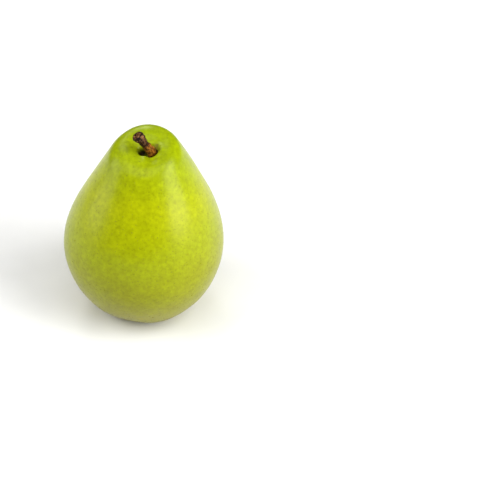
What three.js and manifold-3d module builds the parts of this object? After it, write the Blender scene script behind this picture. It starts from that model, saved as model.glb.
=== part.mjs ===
// A whole winter pear standing on its calyx end: the fruit, its woody stem, the five dry sepals
// of the calyx and the tuft of dry stamens between them.
// Millimetres, +Z up. The origin is the middle of the foot ring, on the surface it stands on.
import * as THREE from "three";
import { mergeVertices } from "three/addons/utils/BufferGeometryUtils.js";
import Module from "manifold-3d";

// ---- Driving dimensions ----------------------------------------------------------------------

const SEAT_GAP = 0.3; // between any two pieces that touch

// The fruit's profile, from the eye at the bottom to the cavity round the stem
const EYE_RADIUS = 2.4; // the open tube that the stamens stand in
const EYE_DEPTH = 3.2;
const BASIN_DEPTH = 6.0; // how far the calyx sits above the foot
const FOOT_INNER_RADIUS = 11.5; // the flat ring that the pear rests on
const FOOT_OUTER_RADIUS = 14.5;
const BELLY_RADIUS = 36.9;
const BELLY_HEIGHT = 35.2;
const BODY_HEIGHT = 90.5; // to the rim, the highest circle, round the stem cavity
const RIM_RADIUS = 9.0;
const SHOULDER_RADIUS = 16.8; // where the flank turns over into the shoulder
const SHOULDER_DROP = 4.3; // below the rim
const CAVITY_DEPTH = 1.9;

// How far each curve of the profile runs straight on from its ends before it bends
const BELLY_FULLNESS = { foot: 9.4, below: 17.5, above: 16.4 };
const FLANK_TAPER = { inward: 10.4, down: 20 };
const SHOULDER_ROUNDING = 3.6;

// How the fruit departs from a turned shape
const OVAL = { share: 0.012, turn: 0.5 }; // wider one way than the other
const THREE_LOBES = { share: 0.006, turn: 1.1 };
const CALYX_LOBES = { count: 5, share: 0.025, height: 14 }; // ribs that die out above the foot
const NECK_SHIFT = { x: 2.1, y: -0.8 }; // the neck grows a little to one side
const SHOULDER_TILT = { x: 0.4, y: 2.0 }; // the rim's rise at its +X and +Y sides
const RIM_LOBES = { count: 3, rise: 0.3, turn: 1.5 };
const FURROW = { depth: 0.6, turn: -0.95, sharpness: 9 }; // in the rim, beside the stem

// The stem: radii along its length, its root's place in the cavity and its lean
const STEM_ROOT_DEPTH = 5.0;
const STEM_LENGTH = 12.4; // above the cavity's floor
const STEM_ROOT_RADIUS = 1.8;
const STEM_COLLAR_RADIUS = 2.0; // where it leaves the flesh
const STEM_WAIST_RADIUS = 1.55;
const STEM_HEAD_RADIUS = 2.6; // the knob where it parted from the spur
const STEM_ROOT = { x: 2.66, y: -0.76 }; // from the middle of the cavity
const STEM_LEAN = { x: -5.86, y: -1.74 }; // from the root to the middle of the head
const STEM_OVAL = 0.1;

// The calyx
const SEPAL_COUNT = 5;
const SEPAL_LENGTH = 5.4;
const SEPAL_WIDTH = 3.0;
const SEPAL_THICKNESS = 0.8;
const SEPAL_LIFT = 1.3; // how far the tip stands off the basin
const STAMEN_ROOT_RADIUS = 1.2;
const STAMEN_CROWN_RADIUS = 1.5;
const STAMEN_HEIGHT = 4.2;

// Fineness of the facets
const FRUIT_SIDES = 64;
const STEM_SIDES = 20;
const PROFILE_STEPS = { eye: 4, basin: 6, belly: 12, flank: 11, shoulder: 5, cavity: 6 };

// ---- Small tools -----------------------------------------------------------------------------

const wasm = await Module();
wasm.setup();

const smooth = (t) => THREE.MathUtils.smoothstep(t, 0, 1);

function moveVertices(geometry, move) {
  const position = geometry.getAttribute("position");
  const point = new THREE.Vector3();
  for (let i = 0; i < position.count; i += 1) {
    move(point.fromBufferAttribute(position, i));
    position.setXYZ(i, point.x, point.y, point.z);
  }
  return geometry;
}

function toSolid(geometry) {
  const bare = geometry.clone();
  bare.deleteAttribute("normal");
  bare.deleteAttribute("uv");
  const merged = mergeVertices(bare, 1e-4);
  return new wasm.Manifold(
    new wasm.Mesh({
      numProp: 3,
      vertProperties: merged.getAttribute("position").array,
      triVerts: new Uint32Array(merged.index.array),
    }),
  );
}

function toGeometry(solid) {
  const mesh = solid.getMesh();
  return new THREE.BufferGeometry()
    .setAttribute("position", new THREE.BufferAttribute(mesh.vertProperties, 3))
    .setIndex(new THREE.BufferAttribute(mesh.triVerts, 1));
}

// A profile of (radius, height) points turned about +Z
function turned(points, sides) {
  return new THREE.LatheGeometry(points, sides).rotateX(Math.PI / 2);
}

// ---- The fruit -------------------------------------------------------------------------------

// The curves of the profile, each from (radius, height) to (radius, height)
function bezier(...points) {
  return new THREE.CubicBezierCurve(...points.map(([r, z]) => new THREE.Vector2(r, z)));
}

const EYE_TOP = BASIN_DEPTH + EYE_DEPTH;
const SHOULDER_HEIGHT = BODY_HEIGHT - SHOULDER_DROP;
const FLANK_SLOPE = new THREE.Vector2(-FLANK_TAPER.inward, FLANK_TAPER.down).normalize();
const CAVITY_FLOOR = BODY_HEIGHT - CAVITY_DEPTH;

const eyeCurve = bezier(
  [0, EYE_TOP],
  [EYE_RADIUS * 1.35, EYE_TOP],
  [EYE_RADIUS * 0.95, BASIN_DEPTH + 1.2],
  [EYE_RADIUS + 0.4, BASIN_DEPTH - 0.1],
);
const basinCurve = bezier(
  [EYE_RADIUS + 0.4, BASIN_DEPTH - 0.1],
  [FOOT_INNER_RADIUS * 0.52, BASIN_DEPTH - 0.4],
  [FOOT_INNER_RADIUS * 0.7, 0],
  [FOOT_INNER_RADIUS, 0],
);
const bellyCurve = bezier(
  [FOOT_OUTER_RADIUS, 0],
  [FOOT_OUTER_RADIUS + BELLY_FULLNESS.foot, 0],
  [BELLY_RADIUS, BELLY_HEIGHT - BELLY_FULLNESS.below],
  [BELLY_RADIUS, BELLY_HEIGHT],
);
const flankCurve = bezier(
  [BELLY_RADIUS, BELLY_HEIGHT],
  [BELLY_RADIUS, BELLY_HEIGHT + BELLY_FULLNESS.above],
  [SHOULDER_RADIUS + FLANK_TAPER.inward, SHOULDER_HEIGHT - FLANK_TAPER.down],
  [SHOULDER_RADIUS, SHOULDER_HEIGHT],
);
const shoulderCurve = bezier(
  [SHOULDER_RADIUS, SHOULDER_HEIGHT],
  [
    SHOULDER_RADIUS + FLANK_SLOPE.x * SHOULDER_ROUNDING,
    SHOULDER_HEIGHT + FLANK_SLOPE.y * SHOULDER_ROUNDING,
  ],
  [RIM_RADIUS + SHOULDER_ROUNDING, BODY_HEIGHT],
  [RIM_RADIUS, BODY_HEIGHT],
);
const cavityCurve = bezier(
  [RIM_RADIUS, BODY_HEIGHT],
  [RIM_RADIUS * 0.6, BODY_HEIGHT],
  [RIM_RADIUS * 0.45, CAVITY_FLOOR],
  [0, CAVITY_FLOOR],
);

function fruitProfile() {
  const curves = [
    [eyeCurve, PROFILE_STEPS.eye],
    [basinCurve, PROFILE_STEPS.basin],
    [bellyCurve, PROFILE_STEPS.belly],
    [flankCurve, PROFILE_STEPS.flank],
    [shoulderCurve, PROFILE_STEPS.shoulder],
    [cavityCurve, PROFILE_STEPS.cavity],
  ];
  const points = [];
  for (const [curve, steps] of curves) {
    for (const point of curve.getPoints(steps)) {
      const last = points.at(-1);
      if (!last || last.distanceTo(point) > 1e-6) points.push(point);
    }
  }
  return points;
}

// How far along the neck a height lies: 0 at the belly, 1 at the rim
const alongNeck = (z) => smooth((z - BELLY_HEIGHT) / (BODY_HEIGHT - BELLY_HEIGHT));

// Where growth carries a point of the turned shape
function grow(point) {
  const angle = Math.atan2(point.y, point.x);
  const radius = Math.hypot(point.x, point.y);
  const calyx = 1 - smooth(point.z / CALYX_LOBES.height);
  const swell =
    1 +
    OVAL.share * Math.cos(2 * (angle - OVAL.turn)) +
    THREE_LOBES.share * Math.cos(3 * (angle - THREE_LOBES.turn)) +
    CALYX_LOBES.share * calyx * Math.cos(CALYX_LOBES.count * angle);
  const neck = alongNeck(point.z);
  const atShoulder = smooth((point.z - BELLY_HEIGHT) / (CAVITY_FLOOR - BELLY_HEIGHT)) ** 3;
  const offAxis = smooth(radius / RIM_RADIUS);
  const tilt = (SHOULDER_TILT.x * point.x + SHOULDER_TILT.y * point.y) / RIM_RADIUS;
  const lobes = RIM_LOBES.rise * Math.cos(RIM_LOBES.count * (angle - RIM_LOBES.turn));
  const groove = Math.exp(FURROW.sharpness * (Math.cos(angle - FURROW.turn) - 1));
  const grooveReach = smooth(radius / 4) * (1 - smooth((radius - RIM_RADIUS * 0.8) / 6));
  point.x = point.x * swell + NECK_SHIFT.x * neck;
  point.y = point.y * swell + NECK_SHIFT.y * neck;
  point.z += (tilt + lobes * offAxis - FURROW.depth * groove * grooveReach) * atShoulder;
  return point;
}

// ---- The stem --------------------------------------------------------------------------------

const cavityMiddle = grow(new THREE.Vector3(0, 0, CAVITY_FLOOR));
const stemFoot = cavityMiddle.clone().add(new THREE.Vector3(STEM_ROOT.x, STEM_ROOT.y, 0));
const stemRise = Math.sqrt(STEM_LENGTH ** 2 - STEM_LEAN.x ** 2 - STEM_LEAN.y ** 2);
const stemHead = stemFoot.clone().add(new THREE.Vector3(STEM_LEAN.x, STEM_LEAN.y, stemRise));
const stemLine = new THREE.CatmullRomCurve3([
  stemFoot.clone().add(new THREE.Vector3(-STEM_LEAN.x * 0.08, 0, -STEM_ROOT_DEPTH)),
  stemFoot,
  stemFoot.clone().lerp(stemHead, 0.5).add(new THREE.Vector3(0.5, -0.25, 0)),
  stemHead,
]);

// The stem's radius at each share of its length, or of the socket that clears it by extra
function stemGeometry(extra) {
  const whole = stemLine.getLength();
  const radii = new THREE.SplineCurve([
    new THREE.Vector2(0, STEM_ROOT_RADIUS),
    new THREE.Vector2(STEM_ROOT_DEPTH / whole, STEM_COLLAR_RADIUS),
    new THREE.Vector2(0.58, STEM_WAIST_RADIUS),
    new THREE.Vector2(0.9, STEM_HEAD_RADIUS),
    new THREE.Vector2(1, STEM_HEAD_RADIUS * 0.88),
  ]);
  const profile = [new THREE.Vector2(0, -extra)];
  for (const { x: share, y: radius } of radii.getPoints(14)) {
    profile.push(new THREE.Vector2(radius + extra, share * whole + (share ? extra : -extra)));
  }
  profile.push(new THREE.Vector2(0, profile.at(-1).y + 0.3));
  const straight = turned(profile, STEM_SIDES);

  // Each ring moves from the straight axis to its place across the stem's line
  const frames = 60;
  const { normals, binormals } = stemLine.computeFrenetFrames(frames);
  return moveVertices(straight, (point) => {
    const share = THREE.MathUtils.clamp(point.z / whole, 0, 1);
    const beyond = point.z - share * whole;
    const k = Math.round(share * frames);
    const centre = stemLine.getPointAt(share).addScaledVector(stemLine.getTangentAt(share), beyond);
    centre.addScaledVector(normals[k], point.x * (1 + STEM_OVAL));
    centre.addScaledVector(binormals[k], point.y * (1 - STEM_OVAL));
    point.copy(centre);
  });
}

// ---- The calyx -------------------------------------------------------------------------------

// The middle of a sepal's underside follows the basin at the seat gap, and lifts towards its tip
function sepalLine(share) {
  const reach = share * (SEPAL_LENGTH / basinCurve.getLength());
  const along = basinCurve.getTangentAt(reach);
  const stand = SEAT_GAP + 0.15 + SEPAL_LIFT * share ** 2;
  const away = new THREE.Vector2(along.y, -along.x); // out of the flesh
  return basinCurve.getPointAt(reach).addScaledVector(away, stand);
}

function sepalGeometry() {
  const half = SEPAL_WIDTH / 2;
  const outline = new THREE.Shape()
    .moveTo(0, -half * 0.85)
    .bezierCurveTo(SEPAL_LENGTH * 0.3, -half * 1.15, SEPAL_LENGTH * 0.75, -half * 0.4, SEPAL_LENGTH, -0.2)
    .lineTo(SEPAL_LENGTH, 0.2)
    .bezierCurveTo(SEPAL_LENGTH * 0.75, half * 0.4, SEPAL_LENGTH * 0.3, half * 1.15, 0, half * 0.85);
  const flat = new THREE.ExtrudeGeometry(outline, {
    depth: SEPAL_THICKNESS,
    bevelEnabled: false,
    curveSegments: 7,
  });
  return moveVertices(flat, (point) => {
    const share = point.x / SEPAL_LENGTH;
    const line = sepalLine(share);
    const ahead = sepalLine(Math.min(share + 0.01, 1)).sub(sepalLine(Math.min(share, 0.99)));
    const away = new THREE.Vector2(ahead.y, -ahead.x).normalize();
    line.addScaledVector(away, point.z);
    point.set(line.x, -point.y, line.y);
  });
}

function stamenGeometry() {
  const root = STAMEN_ROOT_RADIUS;
  const top = EYE_TOP - SEAT_GAP - 0.15;
  const low = top - STAMEN_HEIGHT;
  return turned(
    [
      new THREE.Vector2(0, low),
      new THREE.Vector2(STAMEN_CROWN_RADIUS * 0.8, low + 0.2),
      new THREE.Vector2(STAMEN_CROWN_RADIUS, low + 0.7),
      new THREE.Vector2(root, top - 0.6),
      new THREE.Vector2(root * 0.7, top),
      new THREE.Vector2(0, top),
    ],
    12,
  );
}

// ---- Materials and the tree of pieces ----------------------------------------------------------

const skin = new THREE.MeshStandardMaterial({ color: 0xa6b014, roughness: 0.38, metalness: 0 });
const wood = new THREE.MeshStandardMaterial({ color: 0x5c3317, roughness: 0.8, metalness: 0 });
const drySepal = new THREE.MeshStandardMaterial({ color: 0x4a3220, roughness: 0.9, metalness: 0 });
const dryStamen = new THREE.MeshStandardMaterial({ color: 0x2e1c10, roughness: 0.9, metalness: 0 });

function piece(name, geometry, material) {
  const mesh = new THREE.Mesh(geometry, material);
  mesh.name = name;
  return mesh;
}

const pear = new THREE.Group();

const grown = moveVertices(turned(fruitProfile(), FRUIT_SIDES), grow);
const fruit = toSolid(grown).subtract(toSolid(stemGeometry(SEAT_GAP)));
pear.add(piece("fruit", toGeometry(fruit), skin));

pear.add(piece("stem", stemGeometry(0), wood));

const calyx = new THREE.Group();
for (let i = 0; i < SEPAL_COUNT; i += 1) {
  const sepal = piece(`sepal_${i + 1}`, sepalGeometry(), drySepal);
  sepal.rotation.z = (i + 0.5) * ((2 * Math.PI) / SEPAL_COUNT);
  calyx.add(sepal);
}
calyx.add(piece("stamen_tuft", stamenGeometry(), dryStamen));
pear.add(calyx);

export default pear;
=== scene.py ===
"""A whole green winter pear: waxy skin, woody stem, and the dry calyx in the basin underneath.

Sizes are in millimetres where a name ends in _MM or a table says so, and become metres as they go
into Blender. The skin, the sepals, the stamens and the lenticels are grown by Geometry Nodes.
"""

import math

import bpy
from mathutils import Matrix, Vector, noise


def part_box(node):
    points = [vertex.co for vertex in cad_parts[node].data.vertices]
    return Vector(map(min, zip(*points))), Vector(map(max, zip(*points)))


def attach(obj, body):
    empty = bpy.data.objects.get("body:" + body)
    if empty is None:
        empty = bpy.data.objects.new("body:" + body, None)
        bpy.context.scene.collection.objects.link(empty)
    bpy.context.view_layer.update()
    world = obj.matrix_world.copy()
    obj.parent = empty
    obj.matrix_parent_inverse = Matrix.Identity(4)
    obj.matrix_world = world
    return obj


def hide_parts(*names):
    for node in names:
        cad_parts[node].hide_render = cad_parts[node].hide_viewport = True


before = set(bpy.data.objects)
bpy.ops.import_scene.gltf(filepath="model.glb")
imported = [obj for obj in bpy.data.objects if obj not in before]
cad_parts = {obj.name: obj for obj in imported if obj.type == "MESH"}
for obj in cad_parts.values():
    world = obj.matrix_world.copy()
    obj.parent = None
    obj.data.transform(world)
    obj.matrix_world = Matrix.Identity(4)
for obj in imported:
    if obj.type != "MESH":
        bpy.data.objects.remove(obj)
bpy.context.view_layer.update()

MM = 0.001
scene = bpy.context.scene


# ---- Sizes, in millimetres -------------------------------------------------------------------

# The corners of the skin's profile, from the eye underneath to the stem cavity
PROFILE = {
    "Eye Top": 9.2,
    "Eye Lip Radius": 2.8,
    "Eye Lip Height": 5.9,
    "Foot Inner Radius": 11.5,
    "Foot Outer Radius": 14.5,
    "Belly Radius": 36.9,
    "Belly Height": 35.2,
    "Shoulder Radius": 16.8,
    "Shoulder Height": 86.2,
    "Rim Radius": 9.0,
    "Body Height": 90.5,
    "Cavity Floor": 88.6,
}
CORNERS = (
    (None, "Eye Top"),
    ("Eye Lip Radius", "Eye Lip Height"),
    ("Foot Inner Radius", None),
    ("Foot Outer Radius", None),
    ("Belly Radius", "Belly Height"),
    ("Shoulder Radius", "Shoulder Height"),
    ("Rim Radius", "Body Height"),
    (None, "Cavity Floor"),
)
# Each curve between two corners: its two handles from its own ends, and its rows of faces
CURVES = (
    ((3.24, 0), (-0.52, 1.3), 10),
    ((3.18, -0.3), (-3.45, 0), 22),
    ((1, 0), (-1, 0), 4),
    ((9.4, 0), (0, -17.5), 66),
    ((0, 16.4), (10.4, -20), 76),
    ((-1.66, 3.19), (3.6, 0), 22),
    ((-3.6, 0), (4.05, 0), 26),
)
SKIN_SIDES = 320
CURVE_STEPS = 96

GROWTH = {
    "Oval Share": 0.012,
    "Three Lobe Share": 0.006,
    "Calyx Rib Share": 0.025,
    "Calyx Rib Height": 14.0,
    "Rim Lobe Rise": 0.3,
    "Furrow Depth": 0.85,
    "Pocket Depth": 2.9,
    "Moat Depth": 2.2,
    "Collar Rise": 0.3,
    "Unevenness": 0.22,
}
OVAL_TURN = 0.5
THREE_LOBE_TURN = 1.1
RIM_LOBE_TURN = 1.5
FURROW_TURN = -0.95
FURROW_SHARPNESS = 9.0
NECK_SHIFT_MM = (2.1, -0.8)
SHOULDER_TILT_MM = (0.4, 2.0)

# The stem: where it leaves the cavity floor, its lean to the head, and how deep it is rooted
STEM_FOOT_MM = Vector((5.3, -1.4, 87.6))
STEM_HEAD_MM = Vector((-1.1, -3.3, 99.4))
STEM_BOW_MM = Vector((0.5, -0.25, 0))
STEM_ROOT_DEPTH_MM = 4.0
POCKET_MM = (1.2, -1.3)  # the dark hollow beside the stem's foot
POCKET_WIDE = 3.3


# ---- Small tools -----------------------------------------------------------------------------


def linear(code):
    """An sRGB hex colour as linear red, green, blue and alpha."""
    parts = [int(code[i : i + 2], 16) / 255 for i in (1, 3, 5)]
    return tuple(c / 12.92 if c <= 0.04045 else ((c + 0.055) / 1.055) ** 2.4 for c in parts) + (1,)


def add(tree, kind, inputs=None, stops=(), **settings):
    """Adds a node, sets it up, and links or sets its inputs. A node given as an input means its
    first output. Stops are a colour ramp's places, each with a hex colour or a grey."""
    made = tree.nodes.new(kind)
    for name, value in settings.items():
        setattr(made, name, value)
    for _ in stops[2:]:
        made.color_ramp.elements.new(0.5)
    for index, (spot, colour) in enumerate(stops):
        made.color_ramp.elements[index].position = spot
        made.color_ramp.elements[index].color = (
            linear(colour) if isinstance(colour, str) else (colour, colour, colour, 1))
    for socket, value in (inputs or {}).items():
        target = made.inputs[socket]
        if isinstance(value, bpy.types.Node):
            value = next(output for output in value.outputs if output.enabled)
        if isinstance(value, bpy.types.NodeSocket):
            tree.links.new(value, target)
        else:
            target.default_value = value
    return made


def growth_tree(name, inputs, takes_mesh=False):
    """An empty Geometry Nodes tree with named inputs, and its group input node."""
    tree = bpy.data.node_groups.new(name, "GeometryNodeTree")
    tree.is_modifier = True
    sockets = tree.interface
    sockets.new_socket("Geometry", in_out="OUTPUT", socket_type="NodeSocketGeometry")
    if takes_mesh:
        sockets.new_socket("Mesh", in_out="INPUT", socket_type="NodeSocketGeometry")
    for label in inputs:
        sockets.new_socket(label, in_out="INPUT", socket_type="NodeSocketFloat")
    return tree, tree.nodes.new("NodeGroupInput")


def finish_tree(tree, geometry, material):
    """Ends a tree in Realize Instances, smooth faces and Set Material."""
    real = add(tree, "GeometryNodeRealizeInstances", {0: geometry})
    smooth = add(tree, "GeometryNodeSetShadeSmooth", {0: real})
    coated = add(tree, "GeometryNodeSetMaterial", {0: smooth, "Material": material})
    add(tree, "NodeGroupOutput", {0: coated})


def place(name, mesh):
    piece = bpy.data.objects.new(name, mesh)
    scene.collection.objects.link(piece)
    return piece


def grow(name, tree, values, start_mesh=None):
    """Runs a growth tree and keeps its result as a plain mesh object."""
    host = place(name + "_seedling", start_mesh or bpy.data.meshes.new(name + "_seedling"))
    modifier = host.modifiers.new("Growth", "NODES")
    modifier.node_group = tree
    for item in tree.interface.items_tree:
        if item.in_out == "INPUT" and item.name in values:
            modifier[item.identifier] = float(values[item.name])
    grown = host.evaluated_get(bpy.context.evaluated_depsgraph_get())
    mesh = bpy.data.meshes.new_from_object(grown)
    mesh.name = name
    bpy.data.objects.remove(host)
    return place(name, mesh)


def belongs(piece, slot, *nodes):
    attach(piece, "root")
    if nodes:
        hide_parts(*nodes)


def new_material(name):
    """A node material with nothing in its tree yet."""
    material = bpy.data.materials.new(name)
    material.use_nodes = True
    material.node_tree.nodes.clear()
    return material, material.node_tree


# ---- Materials -------------------------------------------------------------------------------


def pear_skin_material():
    """Living pear skin under its own thin wax: smooth and softly glossy, deep yellow-green, with
    fine dark specks of lenticels, faint streaks down the neck, and rough brown russet in the stem
    cavity and round the calyx."""
    material, tree = new_material("waxy_pear_skin")
    here = add(tree, "ShaderNodeTexCoord").outputs["Object"]
    height = add(tree, "ShaderNodeSeparateXYZ", {0: here}).outputs["Z"]

    # Colour by height: darker and more olive towards the calyx and greener towards the stem, in
    # patches 30 mm across
    patches = add(tree, "ShaderNodeTexNoise", {"Vector": here, "Scale": 34, "Detail": 2})
    tenths = add(tree, "ShaderNodeMath", {0: height, 1: 10.0, 2: -0.12}, operation="MULTIPLY_ADD")
    level = add(tree, "ShaderNodeMath", {0: patches, 1: 0.24, 2: tenths}, operation="MULTIPLY_ADD")
    ground = add(tree, "ShaderNodeValToRGB", {0: level}, stops=(
        (0.05, "#8C8601"), (0.25, "#8B8C01"), (0.5, "#969F02"), (0.7, "#A2A903"),
        (0.95, "#8A9C04")))

    # Streaks 1.5 mm wide that run down from the stem
    drawn = add(tree, "ShaderNodeMapping", {"Vector": here, "Scale": (1, 1, 0.09)})
    streaks = add(tree, "ShaderNodeTexNoise", {"Vector": drawn, "Scale": 420, "Detail": 3})
    streak = add(tree, "ShaderNodeValToRGB", {0: streaks}, stops=((0.35, 0.45), (0.65, 0.56)))
    near_top = add(tree, "ShaderNodeMapRange",
                   {"Value": height, "From Min": 0.05, "From Max": 0.085, "To Max": 0.5})
    ground = add(tree, "ShaderNodeMix", {0: near_top, 6: ground, 7: streak}, data_type="RGBA",
                 blend_type="OVERLAY")

    # Mottling: clouds 4 mm across, and cells of chlorophyll 1.8 mm across and finer
    clouds = add(tree, "ShaderNodeTexNoise", {"Vector": here, "Scale": 240, "Detail": 2})
    cloud = add(tree, "ShaderNodeValToRGB", {0: clouds}, stops=((0.34, 0.44), (0.66, 0.56)))
    ground = add(tree, "ShaderNodeMix", {0: 0.45, 6: ground, 7: cloud}, data_type="RGBA",
                 blend_type="OVERLAY")
    coarse = add(tree, "ShaderNodeTexNoise",
                 {"Vector": here, "Scale": 560, "Detail": 3, "Roughness": 0.6})
    mottle = add(tree, "ShaderNodeValToRGB", {0: coarse},
                 stops=((0.33, 0.39), (0.5, 0.5), (0.68, 0.61)))
    ground = add(tree, "ShaderNodeMix", {0: 0.62, 6: ground, 7: mottle}, data_type="RGBA",
                 blend_type="OVERLAY")

    # Lenticels: dark green pores 0.7 mm wide and 1.4 mm apart
    pores = add(tree, "ShaderNodeTexVoronoi", {"Vector": here, "Scale": 700})
    pore = add(tree, "ShaderNodeMapRange",
               {"Value": pores, "From Min": 0.36, "From Max": 0.14, "To Max": 0.34})
    some = add(tree, "ShaderNodeTexNoise", {"Vector": here, "Scale": 150, "Detail": 2})
    shown = add(tree, "ShaderNodeMapRange", {"Value": some, "From Min": 0.35, "From Max": 0.62})
    pore = add(tree, "ShaderNodeMath", {0: pore, 1: shown}, operation="MULTIPLY")
    ground = add(tree, "ShaderNodeMix", {0: pore, 6: ground, 7: linear("#626F04")},
                 data_type="RGBA")

    # Russet: cork round the stem's foot and in the calyx basin, ragged at its edge
    ragged = add(tree, "ShaderNodeTexNoise", {"Vector": here, "Scale": 520, "Detail": 4})
    cork = 0.0
    for centre, full, gone in (
        (STEM_FOOT_MM, 2.4, 3.8),
        (STEM_FOOT_MM + Vector((2.2, 2.2, 1.0)), 0.4, 2.2),
        (Vector((0, 0, PROFILE["Eye Lip Height"])), 4.5, 9.5),
    ):
        reach = add(tree, "ShaderNodeVectorMath", {0: here, 1: centre * MM}, operation="DISTANCE")
        rough_reach = add(tree, "ShaderNodeMath", {0: ragged, 1: 5 * MM, 2: reach},
                          operation="MULTIPLY_ADD")
        near = add(tree, "ShaderNodeMapRange", {
            "Value": rough_reach, "From Min": (gone + 2.5) * MM, "From Max": (full + 2.5) * MM})
        cork = add(tree, "ShaderNodeMath", {0: near, 1: cork}, operation="MAXIMUM")
    bark = add(tree, "ShaderNodeValToRGB", {0: ragged},
               stops=((0.36, "#53330C"), (0.6, "#8A6A20")))
    colour = add(tree, "ShaderNodeMix", {0: cork, 6: ground, 7: bark}, data_type="RGBA")

    # Painted shade over dead black-brown cork: near-black colour down in the moat round the stem's
    # foot and in the hollow beside it, where shade falls
    for centre, full, gone in (
        (STEM_FOOT_MM, 2.3, 3.0),
        (Vector((*POCKET_MM, STEM_FOOT_MM.z)), 1.6, 3.0),
    ):
        reach = add(tree, "ShaderNodeVectorMath", {0: here, 1: centre * MM}, operation="DISTANCE")
        cork_and_painted_shade = add(tree, "ShaderNodeMapRange",
                   {"Value": reach, "From Min": gone * MM, "From Max": full * MM})
        colour = add(tree, "ShaderNodeMix", {0: cork_and_painted_shade, 6: colour, 7: linear("#1C1004")},
                     data_type="RGBA")

    # Fine flecks of scuffed wax and cork, about seven to a square centimetre
    scars = add(tree, "ShaderNodeTexVoronoi", {"Vector": here, "Scale": 260})
    scar = add(tree, "ShaderNodeMapRange",
               {"Value": scars, "From Min": 0.16, "From Max": 0.09, "To Max": 0.25})
    colour = add(tree, "ShaderNodeMix", {0: scar, 6: colour, 7: linear("#867C18")},
                 data_type="RGBA")

    rough = add(tree, "ShaderNodeMapRange", {"Value": coarse, "To Min": 0.25, "To Max": 0.33})
    rough = add(tree, "ShaderNodeMath", {0: cork, 1: 0.4, 2: rough}, operation="MULTIPLY_ADD")
    rough = add(tree, "ShaderNodeMath", {0: pore, 1: 0.25, 2: rough}, operation="MULTIPLY_ADD")

    # Relief in metres: orange-peel 1.1 mm across, raised pores, crumbly cork
    peel = add(tree, "ShaderNodeTexNoise", {"Vector": here, "Scale": 900, "Detail": 2})
    relief = add(tree, "ShaderNodeMath", {0: peel, 1: 0.00003}, operation="MULTIPLY")
    relief = add(tree, "ShaderNodeMath", {0: pore, 1: 0.00003, 2: relief},
                 operation="MULTIPLY_ADD")
    crumb = add(tree, "ShaderNodeMath", {0: ragged, 1: cork}, operation="MULTIPLY")
    relief = add(tree, "ShaderNodeMath", {0: crumb, 1: 0.0005, 2: relief},
                 operation="MULTIPLY_ADD")
    bump = add(tree, "ShaderNodeBump", {"Strength": 1.0, "Distance": 1.0, "Height": relief})

    # The wax lies over a yellow-green skin, which tints what it mirrors
    surface = add(tree, "ShaderNodeBsdfPrincipled", {
        "Base Color": colour, "Roughness": rough, "Normal": bump, "IOR": 1.34,
        "Specular IOR Level": 0.5, "Specular Tint": (1.0, 1.0, 0.6, 1)})
    add(tree, "ShaderNodeOutputMaterial", {"Surface": surface})
    return material


def lenticel_material():
    """Cork that fills a breathing pore: a dull brown-green grain, no two quite alike."""
    material, tree = new_material("lenticel_cork")
    here = add(tree, "ShaderNodeTexCoord").outputs["Object"]
    grains = add(tree, "ShaderNodeTexNoise", {"Vector": here, "Scale": 300, "Detail": 3})
    colour = add(tree, "ShaderNodeValToRGB", {0: grains},
                 stops=((0.3, "#6B7006"), (0.5, "#7C800C"), (0.7, "#908C18")))
    rough = add(tree, "ShaderNodeMapRange", {"Value": grains, "To Min": 0.5, "To Max": 0.7})
    bump = add(tree, "ShaderNodeBump", {"Strength": 0.4, "Distance": 0.00005, "Height": grains})
    surface = add(tree, "ShaderNodeBsdfPrincipled", {
        "Base Color": colour, "Roughness": rough, "Normal": bump, "Specular IOR Level": 0.2})
    add(tree, "ShaderNodeOutputMaterial", {"Surface": surface})
    return material


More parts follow.
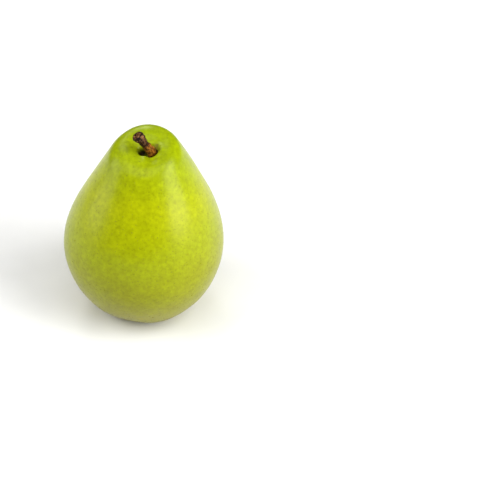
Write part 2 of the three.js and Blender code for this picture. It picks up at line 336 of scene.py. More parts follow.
def stem_material():
    """Weathered pear wood with its thin bark: near-black and brown fibres along the stem, an
    orange-brown foot, and a pale brown torn face, cracked dark, where it parted from the spur."""
    material, tree = new_material("weathered_stem_bark")
    grain = add(tree, "ShaderNodeAttribute", attribute_name="grain").outputs["Vector"]
    along = add(tree, "ShaderNodeAttribute", attribute_name="along").outputs["Fac"]
    scar = add(tree, "ShaderNodeAttribute", attribute_name="scar").outputs["Fac"]
    here = add(tree, "ShaderNodeTexCoord").outputs["Object"]

    fibres = add(tree, "ShaderNodeTexNoise",
                 {"Vector": grain, "Scale": 1500, "Detail": 5, "Roughness": 0.65})
    flakes = add(tree, "ShaderNodeTexNoise",
                 {"Vector": here, "Scale": 620, "Detail": 4, "Roughness": 0.6})
    bark = add(tree, "ShaderNodeValToRGB", {0: fibres}, stops=(
        (0.42, "#0E0300"), (0.54, "#2E1202"), (0.64, "#583006"), (0.76, "#8E5E30")))
    foot = add(tree, "ShaderNodeValToRGB", {0: fibres}, stops=(
        (0.36, "#3E2002"), (0.48, "#8C540A"), (0.64, "#D08C30")))
    low = add(tree, "ShaderNodeMapRange", {"Value": along, "From Min": 0.7, "From Max": 0.55},
              interpolation_type="SMOOTHSTEP")
    patchy = add(tree, "ShaderNodeMapRange", {"Value": flakes, "From Min": 0.34, "From Max": 0.5})
    foot_share = add(tree, "ShaderNodeMath", {0: low, 1: patchy}, operation="MULTIPLY")
    colour = add(tree, "ShaderNodeMix", {0: foot_share, 6: bark, 7: foot}, data_type="RGBA")

    # Paler patches where the bark is rubbed away, nearly all of them near the head
    high = add(tree, "ShaderNodeMapRange",
               {"Value": along, "From Min": 0.72, "From Max": 0.9, "To Min": 0.05, "To Max": 0.85})
    worn = add(tree, "ShaderNodeMapRange", {"Value": flakes, "From Min": 0.54, "From Max": 0.62})
    worn = add(tree, "ShaderNodeMath", {0: worn, 1: high}, operation="MULTIPLY")
    colour = add(tree, "ShaderNodeMix", {0: worn, 6: colour, 7: linear("#AC7C50")},
                 data_type="RGBA")

    torn = add(tree, "ShaderNodeValToRGB", {0: flakes}, stops=(
        (0.44, "#180500"), (0.5, "#5E3614"), (0.64, "#B08250")))
    colour = add(tree, "ShaderNodeMix", {0: scar, 6: colour, 7: torn}, data_type="RGBA")

    rough = add(tree, "ShaderNodeMapRange", {"Value": fibres, "To Min": 0.45, "To Max": 0.8})
    both = add(tree, "ShaderNodeMath", {0: fibres, 1: flakes}, operation="ADD")
    bump = add(tree, "ShaderNodeBump", {"Strength": 1.0, "Distance": 0.0006, "Height": both})
    surface = add(tree, "ShaderNodeBsdfPrincipled", {
        "Base Color": colour, "Roughness": rough, "Normal": bump, "Specular IOR Level": 0.15})
    add(tree, "ShaderNodeOutputMaterial", {"Surface": surface})
    return material


def sepal_material():
    """A dead sepal: papery, dry and dark brown, with paler felted flecks."""
    material, tree = new_material("dry_sepal_tissue")
    here = add(tree, "ShaderNodeTexCoord").outputs["Object"]
    felt = add(tree, "ShaderNodeTexNoise",
               {"Vector": here, "Scale": 1500, "Detail": 5, "Roughness": 0.6})
    colour = add(tree, "ShaderNodeValToRGB", {0: felt}, stops=(
        (0.32, "#24150C"), (0.5, "#4A3220"), (0.66, "#7A5A3C"), (0.8, "#A08A68")))
    rough = add(tree, "ShaderNodeMapRange", {"Value": felt, "To Min": 0.75, "To Max": 0.95})
    bump = add(tree, "ShaderNodeBump", {"Strength": 0.9, "Distance": 0.00025, "Height": felt})
    surface = add(tree, "ShaderNodeBsdfPrincipled", {
        "Base Color": colour, "Roughness": rough, "Normal": bump, "Specular IOR Level": 0.15})
    add(tree, "ShaderNodeOutputMaterial", {"Surface": surface})
    return material


def stamen_material():
    """Dried stamens: brittle near-black threads with dusty brown anthers."""
    material, tree = new_material("dry_stamen_thread")
    here = add(tree, "ShaderNodeTexCoord").outputs["Object"]
    dust = add(tree, "ShaderNodeTexNoise", {"Vector": here, "Scale": 2600, "Detail": 3})
    colour = add(tree, "ShaderNodeValToRGB", {0: dust},
                 stops=((0.35, "#170D07"), (0.55, "#38230F"), (0.75, "#6E5230")))
    rough = add(tree, "ShaderNodeMapRange", {"Value": dust, "To Min": 0.7, "To Max": 0.95})
    bump = add(tree, "ShaderNodeBump", {"Strength": 0.6, "Distance": 0.0001, "Height": dust})
    surface = add(tree, "ShaderNodeBsdfPrincipled", {
        "Base Color": colour, "Roughness": rough, "Normal": bump, "Specular IOR Level": 0.15})
    add(tree, "ShaderNodeOutputMaterial", {"Surface": surface})
    return material


def floor_material():
    """Matt white studio paper: a faint cloud of fibres, no gloss."""
    material, tree = new_material("matt_studio_paper")
    here = add(tree, "ShaderNodeTexCoord").outputs["Object"]
    fibre = add(tree, "ShaderNodeTexNoise", {"Vector": here, "Scale": 40, "Detail": 2})
    colour = add(tree, "ShaderNodeValToRGB", {0: fibre}, stops=((0.3, "#F1F1F0"), (0.7, "#F5F5F4")))
    surface = add(tree, "ShaderNodeBsdfPrincipled",
                  {"Base Color": colour, "Roughness": 0.9, "Specular IOR Level": 0.0})
    add(tree, "ShaderNodeOutputMaterial", {"Surface": surface})
    return material


# ---- The skin --------------------------------------------------------------------------------


def turned_strip(tree, start, leave, arrive, end, rows):
    """A band of faces that one curve of the profile sweeps as it turns about +Z."""
    curve = add(tree, "GeometryNodeCurvePrimitiveBezierSegment",
                {"Resolution": CURVE_STEPS, "Start": start, "Start Handle": leave,
                 "End Handle": arrive, "End": end}, mode="POSITION")
    sheet = add(tree, "GeometryNodeMeshGrid",
                {"Size X": 1.0, "Size Y": 1.0, "Vertices X": SKIN_SIDES + 1,
                 "Vertices Y": rows + 1})
    spot = add(tree, "ShaderNodeSeparateXYZ", {0: add(tree, "GeometryNodeInputPosition")})
    share = add(tree, "ShaderNodeMath", {0: spot.outputs["Y"], 1: 0.5}, operation="ADD")
    turn = add(tree, "ShaderNodeMath", {0: spot.outputs["X"], 1: 2 * math.pi}, operation="MULTIPLY")
    on_curve = add(tree, "GeometryNodeSampleCurve", {"Curves": curve, "Factor": share},
                   mode="FACTOR")
    swept = add(tree, "ShaderNodeVectorRotate",
                {"Vector": on_curve.outputs["Position"], "Angle": turn}, rotation_type="Z_AXIS")
    return add(tree, "GeometryNodeSetPosition", {"Geometry": sheet, "Position": swept})


def lobed(tree, angle, swell, lobes, share, turn):
    """Adds a wave with so many lobes round the axis to a swelling."""
    phase = add(tree, "ShaderNodeMath", {0: angle, 1: lobes, 2: -lobes * turn},
                operation="MULTIPLY_ADD")
    wave = add(tree, "ShaderNodeMath", {0: phase}, operation="COSINE")
    return add(tree, "ShaderNodeMath", {0: wave, 1: share, 2: swell}, operation="MULTIPLY_ADD")


def skin_tree(material):
    tree, given = growth_tree("pear_skin_growth", {**PROFILE, **GROWTH})
    size = given.outputs

    # The turned shape, closed at both poles
    corners = []
    for radius, height in CORNERS:
        place_of = {"X": size[radius] if radius else 0.0, "Z": size[height] if height else 0.0}
        corners.append(add(tree, "ShaderNodeCombineXYZ", place_of))
    strips = add(tree, "GeometryNodeJoinGeometry")
    for index, (leave, arrive, rows) in enumerate(CURVES):
        ends = corners[index], corners[index + 1]
        handles = [
            add(tree, "ShaderNodeVectorMath", {0: corner, 1: (r * MM, 0, z * MM)}, operation="ADD")
            for corner, (r, z) in zip(ends, (leave, arrive))
        ]
        strip = turned_strip(tree, ends[0], handles[0], handles[1], ends[1], rows)
        tree.links.new(strip.outputs[0], strips.inputs[0])
    closed = add(tree, "GeometryNodeMergeByDistance", {"Geometry": strips, "Distance": 1e-6})

    # How it grew away from that shape
    position = add(tree, "GeometryNodeInputPosition")
    split = add(tree, "ShaderNodeSeparateXYZ", {0: position})
    height = split.outputs["Z"]
    angle = add(tree, "ShaderNodeMath", {0: split.outputs["Y"], 1: split.outputs["X"]},
                operation="ARCTAN2")
    flat = add(tree, "ShaderNodeVectorMath", {0: position, 1: (1, 1, 0)}, operation="MULTIPLY")
    radius = add(tree, "ShaderNodeVectorMath", {0: flat}, operation="LENGTH")

    near_calyx = add(tree, "ShaderNodeMapRange",
                     {"Value": height, "From Min": size["Calyx Rib Height"], "From Max": 0.0},
                     interpolation_type="SMOOTHSTEP")
    rib_share = add(tree, "ShaderNodeMath", {0: near_calyx, 1: size["Calyx Rib Share"]},
                    operation="MULTIPLY")
    swell = lobed(tree, angle, 1.0, 2, size["Oval Share"], OVAL_TURN)
    swell = lobed(tree, angle, swell, 3, size["Three Lobe Share"], THREE_LOBE_TURN)
    swell = lobed(tree, angle, swell, 5, rib_share, 0.0)
    swollen = add(tree, "ShaderNodeVectorMath", {0: flat, "Scale": swell}, operation="SCALE")

    neck = add(tree, "ShaderNodeMapRange",
               {"Value": height, "From Min": size["Belly Height"], "From Max": size["Body Height"]},
               interpolation_type="SMOOTHSTEP")
    shift = add(tree, "ShaderNodeVectorMath",
                {0: Vector((*NECK_SHIFT_MM, 0)) * MM, "Scale": neck}, operation="SCALE")
    drawn = add(tree, "ShaderNodeVectorMath", {0: swollen, 1: shift}, operation="ADD")

    up_to_top = add(tree, "ShaderNodeMapRange", {
        "Value": height, "From Min": size["Belly Height"], "From Max": size["Cavity Floor"]},
        interpolation_type="SMOOTHSTEP")
    at_shoulder = add(tree, "ShaderNodeMath", {0: up_to_top, 1: 3.0}, operation="POWER")
    slope = Vector((*SHOULDER_TILT_MM, 0)) / PROFILE["Rim Radius"]
    lift = add(tree, "ShaderNodeVectorMath", {0: position, 1: slope}, operation="DOT_PRODUCT")
    off_axis = add(tree, "ShaderNodeMapRange", {"Value": radius, "From Max": size["Rim Radius"]},
                   interpolation_type="SMOOTHSTEP")
    rim_share = add(tree, "ShaderNodeMath", {0: off_axis, 1: size["Rim Lobe Rise"]},
                    operation="MULTIPLY")
    lift = lobed(tree, angle, lift, 3, rim_share, RIM_LOBE_TURN)

    # A furrow that runs out over the rim
    towards = add(tree, "ShaderNodeMath", {0: angle, 1: FURROW_TURN}, operation="SUBTRACT")
    facing = add(tree, "ShaderNodeMath", {0: towards}, operation="COSINE")
    narrow = add(tree, "ShaderNodeMath", {0: facing, 1: FURROW_SHARPNESS, 2: -FURROW_SHARPNESS},
                 operation="MULTIPLY_ADD")
    groove = add(tree, "ShaderNodeMath", {0: narrow}, operation="EXPONENT")
    for none, all_of_it in ((0.0, 4.0), (13.2, 7.2)):
        reach = add(tree, "ShaderNodeMapRange",
                    {"Value": radius, "From Min": none * MM, "From Max": all_of_it * MM},
                    interpolation_type="SMOOTHSTEP")
        groove = add(tree, "ShaderNodeMath", {0: groove, 1: reach}, operation="MULTIPLY")
    cut = add(tree, "ShaderNodeMath", {0: groove, 1: size["Furrow Depth"]}, operation="MULTIPLY")
    lift = add(tree, "ShaderNodeMath", {0: lift, 1: cut}, operation="SUBTRACT")

    # A hollow beside the stem's foot, a moat tight round it, and the flesh that swells outside
    # the moat; each goes from nothing to all of its height between two distances in mm
    foot = (STEM_FOOT_MM.x - 0.2, STEM_FOOT_MM.y - 0.2)
    for centre, none, all_of_it, sign, label in (
        (POCKET_MM, POCKET_WIDE, 0.4, -1, "Pocket Depth"),
        (foot, 3.9, 2.2, -1, "Moat Depth"),
        (foot, 6.0, 4.2, 1, "Collar Rise"),
    ):
        away = add(tree, "ShaderNodeVectorMath", {0: drawn, 1: Vector((*centre, 0)) * MM},
                   operation="DISTANCE")
        reach = add(tree, "ShaderNodeMapRange",
                    {"Value": away, "From Min": none * MM, "From Max": all_of_it * MM,
                     "To Max": sign}, interpolation_type="SMOOTHSTEP")
        lift = add(tree, "ShaderNodeMath", {0: reach, 1: size[label], 2: lift},
                   operation="MULTIPLY_ADD")

    lift = add(tree, "ShaderNodeMath", {0: lift, 1: at_shoulder, 2: height},
               operation="MULTIPLY_ADD")
    raised = add(tree, "ShaderNodeCombineXYZ", {"Z": lift})
    grown = add(tree, "ShaderNodeVectorMath", {0: drawn, 1: raised}, operation="ADD")
    shaped = add(tree, "GeometryNodeSetPosition", {"Geometry": closed, "Position": grown})

    # Soft unevenness 15 mm and 8 mm across, none of it at the foot
    here = add(tree, "GeometryNodeInputPosition")
    swells = add(tree, "ShaderNodeTexNoise",
                 {"Vector": here, "Scale": 66, "Detail": 1.5, "Roughness": 0.4})
    up = add(tree, "ShaderNodeSeparateXYZ", {0: here})
    off_foot = add(tree, "ShaderNodeMapRange",
                   {"Value": up.outputs["Z"], "From Min": 1 * MM, "From Max": 14 * MM},
                   interpolation_type="SMOOTHSTEP")
    even = add(tree, "ShaderNodeMath", {0: swells, 1: 2.0, 2: -1.0}, operation="MULTIPLY_ADD")
    even = add(tree, "ShaderNodeMath", {0: even, 1: off_foot}, operation="MULTIPLY")
    even = add(tree, "ShaderNodeMath", {0: even, 1: size["Unevenness"]}, operation="MULTIPLY")
    outwards = add(tree, "ShaderNodeVectorMath",
                   {0: add(tree, "GeometryNodeInputNormal"), "Scale": even}, operation="SCALE")
    uneven = add(tree, "GeometryNodeSetPosition", {"Geometry": shaped, "Offset": outwards})
    finish_tree(tree, uneven, material)
    return tree


def make_skin():
    in_metres = {label: value * MM for label, value in {**PROFILE, **GROWTH}.items()}
    for share in ("Oval Share", "Three Lobe Share", "Calyx Rib Share"):
        in_metres[share] = GROWTH[share]
    skin = grow("pear_skin", skin_tree(pear_skin_material()), in_metres)
    belongs(skin, "pear_skin", "fruit")
    return skin


# ---- Lenticels -------------------------------------------------------------------------------


def make_lenticels(skin):
    """Corky pores that stand a few hundredths of a millimetre proud, denser towards the calyx."""
    tree, given = growth_tree("lenticel_growth", ("Spacing", "Radius", "Density"), takes_mesh=True)
    size = given.outputs
    here = add(tree, "GeometryNodeInputPosition")
    height = add(tree, "ShaderNodeSeparateXYZ", {0: here}).outputs["Z"]
    low = add(tree, "ShaderNodeMapRange",
              {"Value": height, "From Min": 86 * MM, "From Max": 30 * MM, "To Min": 0.25},
              interpolation_type="SMOOTHSTEP")
    clear = add(tree, "ShaderNodeMapRange",
                {"Value": height, "From Min": 0.5 * MM, "From Max": 3 * MM},
                interpolation_type="SMOOTHSTEP")
    share = add(tree, "ShaderNodeMath", {0: low, 1: clear}, operation="MULTIPLY")
    spots = add(tree, "GeometryNodeDistributePointsOnFaces",
                {"Mesh": given, "Distance Min": size["Spacing"], "Density Max": size["Density"],
                 "Density Factor": share, "Seed": 7}, distribute_method="POISSON")
    dome = add(tree, "GeometryNodeMeshCone",
               {"Vertices": 8, "Side Segments": 1, "Radius Top": 0.5, "Radius Bottom": 1.0,
                "Depth": 0.3})
    some_size = add(tree, "FunctionNodeRandomValue", {2: 0.45, 3: 1.25, "Seed": 3},
                    data_type="FLOAT")
    scale = add(tree, "ShaderNodeMath", {0: some_size.outputs[1], 1: size["Radius"]},
                operation="MULTIPLY")
    bumps = add(tree, "GeometryNodeInstanceOnPoints",
                {"Points": spots, "Instance": dome, "Rotation": spots.outputs["Rotation"],
                 "Scale": scale})
    sunk = add(tree, "GeometryNodeTranslateInstances",
               {"Instances": bumps, "Translation": (0, 0, -0.03 * MM)})
    finish_tree(tree, sunk, lenticel_material())
    lenticels = grow("lenticels", tree,
                     {"Spacing": 1.6 * MM, "Radius": 0.21 * MM, "Density": 300000}, skin.data)
    belongs(lenticels, "pear_skin")


# ---- The stem --------------------------------------------------------------------------------


def through(points, share):
    """The point at a share of the way along a smooth line through some points."""
    spans = len(points) - 1
    span = min(int(share * spans), spans - 1)
    t = share * spans - span
    before = points[span - 1] if span else points[0] * 2 - points[1]
    after = points[span + 2] if span + 2 <= spans else points[-1] * 2 - points[-2]
    a, b = points[span], points[span + 1]
    return 0.5 * (2 * a + (b - before) * t + (2 * before - 5 * a + 4 * b - after) * t**2
                  + (3 * a - before - 3 * b + after) * t**3)


STEM_RINGS = 150
STEM_SIDES = 84
SCAR_RINGS = 22
SCAR_RADIUS = 2.6
# Radius in mm at each share of the length, from the buried root to the head
STEM_RADII = ((0.0, 1.7), (0.25, 1.85), (0.38, 1.95), (0.5, 1.95), (0.6, 1.7), (0.7, 1.5),
              (0.8, 1.75), (0.9, 2.35), (0.955, 2.6), (1.0, 2.45))
# Knots on the side of the stem: share of the length, angle, height and spread in mm
STEM_KNOTS = ((0.8, 2.6, 0.55, 1.1), (0.62, 0.4, 0.1, 0.9), (0.9, -1.2, 0.35, 0.9),
              (0.36, -1.9, 0.4, 1.2), (0.46, 3.5, 0.3, 1.0))
STEM_OVAL = 0.06  # how much wider one way and narrower the other
GRAIN_STRETCH = 0.16  # the bark's fibres are drawn out along the stem by its inverse
LIP_START = 0.965  # the share of the length where the head begins to draw in
LIP_TUCK = 0.14  # how much it has drawn in at the torn face


def stem_radius(share):
    for (start, low), (end, high) in zip(STEM_RADII, STEM_RADII[1:]):
        if share <= end:
            t = (share - start) / (end - start)
            return low + (high - low) * t * t * (3 - 2 * t)
    return STEM_RADII[-1][1]


def stem_surface(share, angle, length):
    """How far the bark stands from the stem's line, in mm."""
    radius = stem_radius(share)
    grain = Vector((math.cos(angle) * 1.6, math.sin(angle) * 1.6, share * length * 0.22))
    radius += 0.34 * noise.fractal(grain * 0.9, 1.0, 2.0, 4)
    lumps = Vector((math.cos(angle) * 2, math.sin(angle) * 2, share * length))
    radius += 0.3 * noise.noise(lumps * 0.55 + Vector((7.1, 2.3, 5.0)))
    radius += 0.10 * noise.noise(lumps * 1.9 + Vector((1.1, 8.3, 3.0)))
    for knot_share, knot_angle, height, spread in STEM_KNOTS:
        around = math.remainder(angle - knot_angle, 2 * math.pi) * radius
        along = (share - knot_share) * length
        radius += height * math.exp(-(around**2 + along**2) / spread**2 * 1.6)
    return radius


def make_stem():
    foot, head = STEM_FOOT_MM, STEM_HEAD_MM
    root = foot + Vector(((foot.x - head.x) * 0.08, 0, -STEM_ROOT_DEPTH_MM))
    line = [root, foot, foot.lerp(head, 0.5) + STEM_BOW_MM, head]
    path = [through(line, i / STEM_RINGS) for i in range(STEM_RINGS + 1)]
    length = sum((b - a).length for a, b in zip(path, path[1:]))
    points, grains, alongs, scars = [], [], [], []

    def ring(centre, tangent, radius_at, rise_at, share, scar):
        side = (Vector((1, 0, 0)) - tangent * tangent.x).normalized()
        front = tangent.cross(side)
        for k in range(STEM_SIDES):
            angle = 2 * math.pi * k / STEM_SIDES
            radius = radius_at(angle)
            outwards = (side * (math.cos(angle) * (1 + STEM_OVAL))
                        + front * (math.sin(angle) * (1 - STEM_OVAL)))
            points.append((centre + outwards * radius + tangent * rise_at(angle)) * MM)
            grains.append(Vector((math.cos(angle) * radius, math.sin(angle) * radius,
                                  share * length * GRAIN_STRETCH)) * MM)
            alongs.append(share)
            scars.append(scar)

    for i, centre in enumerate(path):
        share = i / STEM_RINGS
        tangent = (path[min(i + 1, STEM_RINGS)] - path[max(i - 1, 0)]).normalized()
        # The last rings draw in and round over the lip of the torn end
        lip = max(0.0, (share - LIP_START) / (1 - LIP_START))
        tuck = 1 - LIP_TUCK * lip**2
        ring(centre, tangent, lambda a, s=share, k=tuck: stem_surface(s, a, length) * k,
             lambda a: 0.0, share, 0.0)

    # The torn face: a low rim, then a rough hollow with a crack across it
    tangent = (path[-1] - path[-2]).normalized()
    for j in range(1, SCAR_RINGS):
        inwards = j / SCAR_RINGS

        def rise(angle, inwards=inwards):
            spot = Vector((math.cos(angle), math.sin(angle), 0)) * (1 - inwards) * SCAR_RADIUS
            rough = noise.fractal(spot * 1.1 + Vector((3.3, 0.4, 9.0)), 1.0, 2.0, 4) * 0.5
            crack = -0.5 * math.exp(-((spot.x * 0.6 + spot.y * 0.8 + 0.3) / 0.22) ** 2)
            edge = min(1.0, inwards * 5)
            return 0.16 * math.sin(min(inwards * 6, math.pi)) + edge * (rough + crack - 0.25)

        ring(path[-1], tangent,
             lambda a, k=1 - inwards: stem_surface(1.0, a, length) * (1 - LIP_TUCK) * k,
             rise, 1.0, min(1.0, inwards * 7))

    count = len(points) // STEM_SIDES
    faces = []
    for i in range(count - 1):
        for k in range(STEM_SIDES):
            a, b = i * STEM_SIDES + k, i * STEM_SIDES + (k + 1) % STEM_SIDES
            faces.append((a, b, b + STEM_SIDES, a + STEM_SIDES))
    root_pole, tip_pole = len(points), len(points) + 1
    points += [path[0] * MM, (path[-1] - tangent * 0.3) * MM]
    grains += [Vector(), Vector((0, 0, length * GRAIN_STRETCH * MM))]
    alongs += [0.0, 1.0]
    scars += [0.0, 1.0]
    last = (count - 1) * STEM_SIDES
    for k in range(STEM_SIDES):
        after = (k + 1) % STEM_SIDES
        faces.append((root_pole, after, k))
        faces.append((tip_pole, last + k, last + after))

    mesh = bpy.data.meshes.new("stem_wood")
    mesh.from_pydata(points, [], faces)
    mesh.shade_smooth()
    for name, kind, values in (("along", "FLOAT", alongs), ("scar", "FLOAT", scars)):
        mesh.attributes.new(name, kind, "POINT").data.foreach_set("value", values)
    grain = mesh.attributes.new("grain", "FLOAT_VECTOR", "POINT")
    grain.data.foreach_set("vector", [part for vector in grains for part in vector])
    mesh.materials.append(stem_material())
    stem = place("stem_wood", mesh)
    belongs(stem, "stem_wood", "stem")


# ---- The calyx -------------------------------------------------------------------------------


def sepal_tree(material):
    """One dry sepal along +X: a pointed blade that arches down out of the eye, curled at its
    edges, ribbed in the middle and crinkled."""
    sizes = ("Length", "Width", "Thickness", "Curl", "Drop", "Crinkle", "Turn", "Start Radius",
             "Start Height")
    tree, given = growth_tree("sepal_growth", sizes)
    size = given.outputs
    blade = add(tree, "GeometryNodeMeshGrid",
                {"Size X": 1.0, "Size Y": 1.0, "Vertices X": 30, "Vertices Y": 15})
    spot = add(tree, "ShaderNodeSeparateXYZ", {0: add(tree, "GeometryNodeInputPosition")})
    share = add(tree, "ShaderNodeMath", {0: spot.outputs["X"], 1: 0.5}, operation="ADD")
    across = add(tree, "ShaderNodeMath", {0: spot.outputs["Y"], 1: 2.0}, operation="MULTIPLY")

    # Outline: widest a third of the way out, drawn to a point
    outline = add(tree, "ShaderNodeFloatCurve", {"Value": share})
    curve = outline.mapping.curves[0]
    for point, spot_at in zip(curve.points, ((0, 0.8), (1, 0.05))):
        point.location = spot_at
    for spot_at in ((0.3, 1.0), (0.65, 0.62), (0.88, 0.24)):
        curve.points.new(*spot_at)
    outline.mapping.update()
    half = add(tree, "ShaderNodeMath", {0: outline, 1: size["Width"]}, operation="MULTIPLY")
    half = add(tree, "ShaderNodeMath", {0: half, 1: 0.5}, operation="MULTIPLY")
    y = add(tree, "ShaderNodeMath", {0: half, 1: across}, operation="MULTIPLY")

    # It leaves the eye level and bends down towards its tip, and its edges curl back up
    x = add(tree, "ShaderNodeMath", {0: share, 1: size["Length"], 2: size["Start Radius"]},
            operation="MULTIPLY_ADD")
    bent = add(tree, "ShaderNodeMath", {0: share, 1: 1.5}, operation="POWER")
    fall = add(tree, "ShaderNodeMath", {0: bent, 1: size["Drop"]}, operation="MULTIPLY")
    z = add(tree, "ShaderNodeMath", {0: size["Start Height"], 1: fall}, operation="SUBTRACT")
    cupped = add(tree, "ShaderNodeMath", {0: across, 1: across}, operation="MULTIPLY")
    edge = add(tree, "ShaderNodeMath", {0: cupped, 1: size["Curl"]}, operation="MULTIPLY")
    z = add(tree, "ShaderNodeMath", {0: z, 1: edge}, operation="SUBTRACT")
    laid = add(tree, "ShaderNodeCombineXYZ", {0: x, 1: y, 2: z})
    shaped = add(tree, "GeometryNodeSetPosition", {"Geometry": blade, "Position": laid})

    here = add(tree, "GeometryNodeInputPosition")
    folds = add(tree, "ShaderNodeTexNoise",
                {"Vector": here, "W": size["Turn"], "Scale": 700, "Detail": 2},
                noise_dimensions="4D")
    push = add(tree, "ShaderNodeMath", {0: folds, 1: -0.5}, operation="ADD")
    push = add(tree, "ShaderNodeMath", {0: push, 1: size["Crinkle"]}, operation="MULTIPLY")
    crinkled = add(tree, "GeometryNodeSetPosition",
                   {"Geometry": shaped, "Offset": add(tree, "ShaderNodeCombineXYZ", {"Z": push})})

    # Its thickness, as a closed shell
    thick = add(tree, "GeometryNodeExtrudeMesh",
                {"Mesh": crinkled, "Offset": (0, 0, -1), "Offset Scale": size["Thickness"],
                 "Individual": False}, mode="FACES")
    back = add(tree, "GeometryNodeFlipFaces", {0: crinkled})
    both = add(tree, "GeometryNodeJoinGeometry", {0: thick})
    tree.links.new(back.outputs[0], both.inputs[0])
    closed = add(tree, "GeometryNodeMergeByDistance", {"Geometry": both, "Distance": 1e-6})
    turn = add(tree, "ShaderNodeCombineXYZ", {"Z": size["Turn"]})
    turned = add(tree, "GeometryNodeTransform", {"Geometry": closed, "Rotation": turn})
    finish_tree(tree, turned, material)
    return tree


def make_sepals():
    tree = sepal_tree(sepal_material())
    for index in range(5):
        node = f"sepal_{index + 1}"
        low, high = (Vector(corner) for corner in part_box(node))
        middle = (low + high) / 2
        vary = noise.noise(Vector((index * 3.7, 1.3, 0.5)))
        sepal = grow(f"dry_{node}", tree, {
            "Length": (3.5 + 0.5 * vary) * MM,
            "Width": (3.0 + 0.5 * vary) * MM,
            "Thickness": 0.28 * MM,
            "Curl": (0.5 + 0.5 * vary) * MM,
            "Drop": (3.2 + 0.5 * vary) * MM,
            "Crinkle": 0.9 * MM,
            "Turn": math.atan2(middle.y, middle.x),
            "Start Radius": 2.1 * MM,
            "Start Height": high.z - 0.1 * MM,
        })
        belongs(sepal, "dry_sepal", node)


def make_stamens():
    """A ring of bent dry threads, each with a shrivelled anther, packed in the eye."""
    low, high = (Vector(corner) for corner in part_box("stamen_tuft"))
    sizes = ("Height", "Thread Radius", "Anther Radius", "Tuft Radius", "Top")
    tree, given = growth_tree("stamen_growth", sizes)
    size = given.outputs
    reach = add(tree, "ShaderNodeMath", {0: size["Height"], 1: -1.0}, operation="MULTIPLY")
    end = add(tree, "ShaderNodeCombineXYZ", {"X": size["Anther Radius"], "Z": reach})
    thread = add(tree, "GeometryNodeCurvePrimitiveBezierSegment",
                 {"Resolution": 8, "Start": (0, 0, 0), "Start Handle": (0.0004, 0, -0.0012),
                  "End Handle": (-0.0005, 0.0002, -0.0024), "End": end}, mode="POSITION")
    round_section = add(tree, "GeometryNodeCurvePrimitiveCircle",
                        {"Resolution": 6, "Radius": size["Thread Radius"]})
    stalk = add(tree, "GeometryNodeCurveToMesh",
                {"Curve": thread, "Profile Curve": round_section, "Fill Caps": True})
    anther = add(tree, "GeometryNodeMeshUVSphere",
                 {"Segments": 8, "Rings": 6, "Radius": size["Anther Radius"]})
    at_end = add(tree, "GeometryNodeTransform",
                 {"Geometry": anther, "Translation": end, "Scale": (0.8, 1.1, 1.5)})
    stamen = add(tree, "GeometryNodeJoinGeometry", {0: stalk})
    tree.links.new(at_end.outputs[0], stamen.inputs[0])

    disc = add(tree, "GeometryNodeMeshCircle", {"Vertices": 24, "Radius": size["Tuft Radius"]},
               fill_type="NGON")
    roots = add(tree, "GeometryNodeDistributePointsOnFaces",
                {"Mesh": disc, "Distance Min": 0.36 * MM, "Density Max": 9e6, "Seed": 11},
                distribute_method="POISSON")
    tips = add(tree, "FunctionNodeRandomValue",
               {0: (-0.16, -0.16, 0), 1: (0.16, 0.16, 6.28), "Seed": 5}, data_type="FLOAT_VECTOR")
    scale = add(tree, "FunctionNodeRandomValue", {2: 0.72, 3: 1.0, "Seed": 2}, data_type="FLOAT")
    tuft = add(tree, "GeometryNodeInstanceOnPoints",
               {"Points": roots, "Instance": stamen, "Rotation": tips, "Scale": scale.outputs[1]})
    top = add(tree, "ShaderNodeCombineXYZ", {"Z": size["Top"]})
    raised = add(tree, "GeometryNodeTransform", {"Geometry": tuft, "Translation": top})
    finish_tree(tree, raised, stamen_material())
    stamens = grow("dry_stamens", tree, {
        "Height": high.z - low.z - 0.3 * MM,
        "Thread Radius": 0.09 * MM,
        "Anther Radius": 0.2 * MM,
        "Tuft Radius": 1.15 * MM,
        "Top": high.z,
    })
    belongs(stamens, "dry_stamen", "stamen_tuft")


# ---- The studio ------------------------------------------------------------------------------


FLOOR_RADIUS = 1.15
LIGHT_DISTANCE = 1.1
LIGHT_AIM = Vector((0, 0, 0.05))
# Each softbox: its direction from the pear, its width and height in metres, and its watts
SOFTBOXES = {
    "key_softbox": ((0.83, -0.41, 0.38), (0.72, 0.8), 12.2),
    "shoulder_softbox": ((0.6, -0.16, 0.78), (0.5, 0.5), 5.0),
    "left_softbox": ((-0.88, -0.04, 0.47), (0.8, 1.1), 8.6),
    "back_softbox": ((-0.16, 0.76, 0.62), (0.35, 0.35), 2.4),
    "top_softbox": ((-0.1, -0.3, 1.0), (1.0, 1.0), 5.6),
}


def make_floor():
    bpy.ops.mesh.primitive_circle_add(vertices=128, radius=FLOOR_RADIUS, fill_type="NGON")
    floor = bpy.context.object
    floor.name = "floor"
    floor.data.materials.append(floor_material())


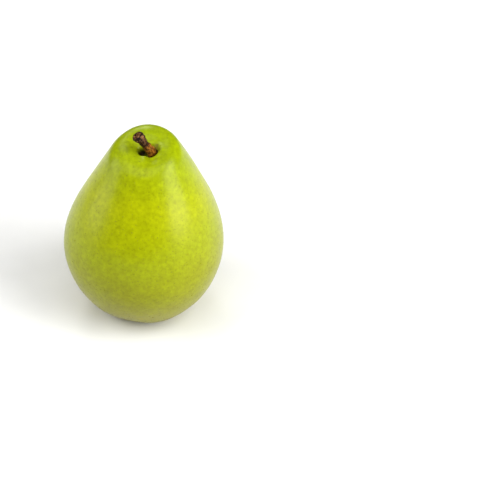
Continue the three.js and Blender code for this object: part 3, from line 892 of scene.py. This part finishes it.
def make_lights():
    for name, (direction, size, watts) in SOFTBOXES.items():
        light = bpy.data.lights.new(name, "AREA")
        light.shape = "RECTANGLE"
        light.size, light.size_y = size
        light.energy = watts
        lamp = place(name, light)
        towards = Vector(direction).normalized()
        lamp.location = LIGHT_AIM + towards * LIGHT_DISTANCE
        lamp.rotation_euler = towards.to_track_quat("Z", "Y").to_euler()

    # A pale backdrop all round that hardly lights the pear
    world = bpy.data.worlds.new("studio")
    world.use_nodes = True
    tree = world.node_tree
    tree.nodes.clear()
    seen = add(tree, "ShaderNodeLightPath").outputs["Is Camera Ray"]
    strength = add(tree, "ShaderNodeMapRange", {"Value": seen, "To Min": 0.04, "To Max": 1.0})
    backdrop = add(tree, "ShaderNodeBackground", {"Color": (1, 1, 1, 1), "Strength": strength})
    add(tree, "ShaderNodeOutputWorld", {"Surface": backdrop})
    scene.world = world


CAMERA_HEIGHT_ANGLE = math.radians(41)
CAMERA_DISTANCE = 0.95
FRAME_WIDTH_AT_PEAR = 0.2315  # what the frame takes in at the pear
SENSOR = 36.0
# Where the camera looks: to the right of the pear's middle and a little below it
AIM_RIGHT = 0.0492
AIM_DOWN = 0.0121


def make_camera():
    lens = bpy.data.cameras.new("camera")
    lens.sensor_width = SENSOR
    lens.lens = SENSOR * CAMERA_DISTANCE / FRAME_WIDTH_AT_PEAR
    lens.clip_start = 0.05
    camera = place("camera", lens)
    back = Vector((0, -math.cos(CAMERA_HEIGHT_ANGLE), math.sin(CAMERA_HEIGHT_ANGLE)))
    up = Vector((0, math.sin(CAMERA_HEIGHT_ANGLE), math.cos(CAMERA_HEIGHT_ANGLE)))
    aim = Vector((AIM_RIGHT, 0, 0.045)) - up * AIM_DOWN
    camera.location = aim + back * CAMERA_DISTANCE
    camera.rotation_euler = back.to_track_quat("Z", "Y").to_euler()
    scene.camera = camera


make_camera()
make_lights()
make_floor()
make_lenticels(make_skin())
make_stem()
make_sepals()
make_stamens()
scene.view_settings.view_transform = "Standard"
